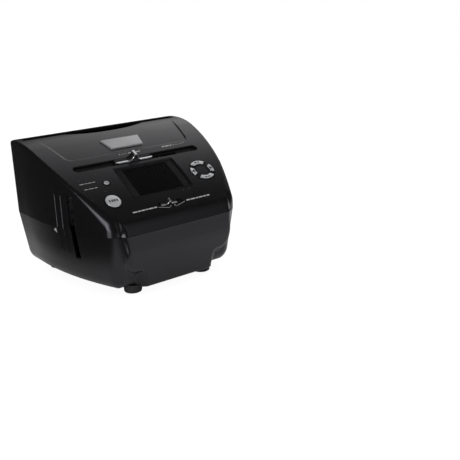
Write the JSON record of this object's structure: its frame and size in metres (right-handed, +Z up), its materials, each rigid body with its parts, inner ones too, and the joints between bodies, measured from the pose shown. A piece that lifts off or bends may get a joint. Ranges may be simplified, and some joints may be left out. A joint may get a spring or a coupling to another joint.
{
  "type": "film negative scanner",
  "caption": "Desktop film and photo scanner with a sloping glossy panel, colour display, sliding backlight, focus switch, keys, a print slot on top and a film channel through the sides.",
  "frame": {"origin": "centre of the footprint, on the desk", "axes": "+X to the right as seen from the front, +Y to the back, +Z up"},
  "size_m": [0.187, 0.154, 0.1341],
  "materials": {
    "gloss_black": "high-gloss injection-moulded ABS, fine dust and edge wear",
    "satin_black": "satin moulded plastic",
    "chrome_silver": "electroplated plastic trim",
    "key_silver": "silver lacquered key caps",
    "plate_silver": "brushed bare plate",
    "clear_window": "clear acrylic",
    "lcd_dark": "liquid crystal panel, off",
    "rubber_black": "moulded rubber",
    "bright_steel": "zinc plated steel",
    "board_green": "solder mask",
    "diffuser_white": "opal acrylic",
    "mark_white": "screen-printed ink",
    "mark_dark": "screen-printed ink",
    "lens_clear": "coated glass"
  },
  "bodies": {
    "scanner": {"upper_housing": "gloss_black", "lower_housing": "gloss_black", "rubber_feet": "rubber_black", "housing_screws": "bright_steel", "name_plate": "plate_silver", "display_window": "clear_window", "display_module": "lcd_dark", "slider_track": "satin_black", "guide_rod": "bright_steel", "left_key_board": "board_green", "right_key_board": "board_green", "key_switches": "satin_black", "film_gate_front": "satin_black", "film_gate_rear": "satin_black", "print_frame": "satin_black", "print_backing": "diffuser_white", "print_light_left": "diffuser_white", "print_light_right": "diffuser_white", "camera_board": "board_green", "lens_barrel": "satin_black", "camera_lens": "lens_clear", "main_board": "board_green", "board_screws": "bright_steel", "usb_socket": "bright_steel", "card_socket": "bright_steel"},
    "light_slider": {"slider_knob": "chrome_silver", "backlight_carriage": "satin_black", "backlight_diffuser": "diffuser_white", "backlight_board": "board_green"},
    "focus_switch": {"focus_knob": "chrome_silver", "focus_lever": "satin_black", "close_up_lens": "lens_clear"},
    "scan_key": {"scan_button": "key_silver"},
    "power_key": {"power_button": "key_silver"},
    "mode_key": {"mode_button": "key_silver"},
    "enter_key": {"enter_button": "key_silver"},
    "left_key": {"left_button": "key_silver"},
    "right_key": {"right_button": "key_silver"}
  },
  "joints": [
    {"name": "light_slide", "type": "slide", "parent": "scanner", "child": "light_slider", "axis": [1, 0, 0], "range_m": [0, 0.046]},
    {"name": "focus_slide", "type": "slide", "parent": "scanner", "child": "focus_switch", "axis": [1, 0, 0], "range_m": [0, 0.005]},
    {"name": "scan_press", "type": "slide", "parent": "scanner", "child": "scan_key", "axis": [0, 0.5536, -0.8328], "range_m": [0, 0.0007], "stiffness_N_per_m": 900, "springref_m": -0.0005},
    {"name": "power_press", "type": "slide", "parent": "scanner", "child": "power_key", "axis": [0, 0.4979, -0.8672], "range_m": [0, 0.0007], "stiffness_N_per_m": 900, "springref_m": -0.0005},
    {"name": "mode_press", "type": "slide", "parent": "scanner", "child": "mode_key", "axis": [0, 0.5188, -0.8549], "range_m": [0, 0.0007], "stiffness_N_per_m": 900, "springref_m": -0.0005},
    {"name": "enter_press", "type": "slide", "parent": "scanner", "child": "enter_key", "axis": [0, 0.5188, -0.8549], "range_m": [0, 0.0007], "stiffness_N_per_m": 900, "springref_m": -0.0005},
    {"name": "left_press", "type": "slide", "parent": "scanner", "child": "left_key", "axis": [0, 0.5188, -0.8549], "range_m": [0, 0.0007], "stiffness_N_per_m": 900, "springref_m": -0.0005},
    {"name": "right_press", "type": "slide", "parent": "scanner", "child": "right_key", "axis": [0, 0.5188, -0.8549], "range_m": [0, 0.0007], "stiffness_N_per_m": 900, "springref_m": -0.0005}
  ]
}
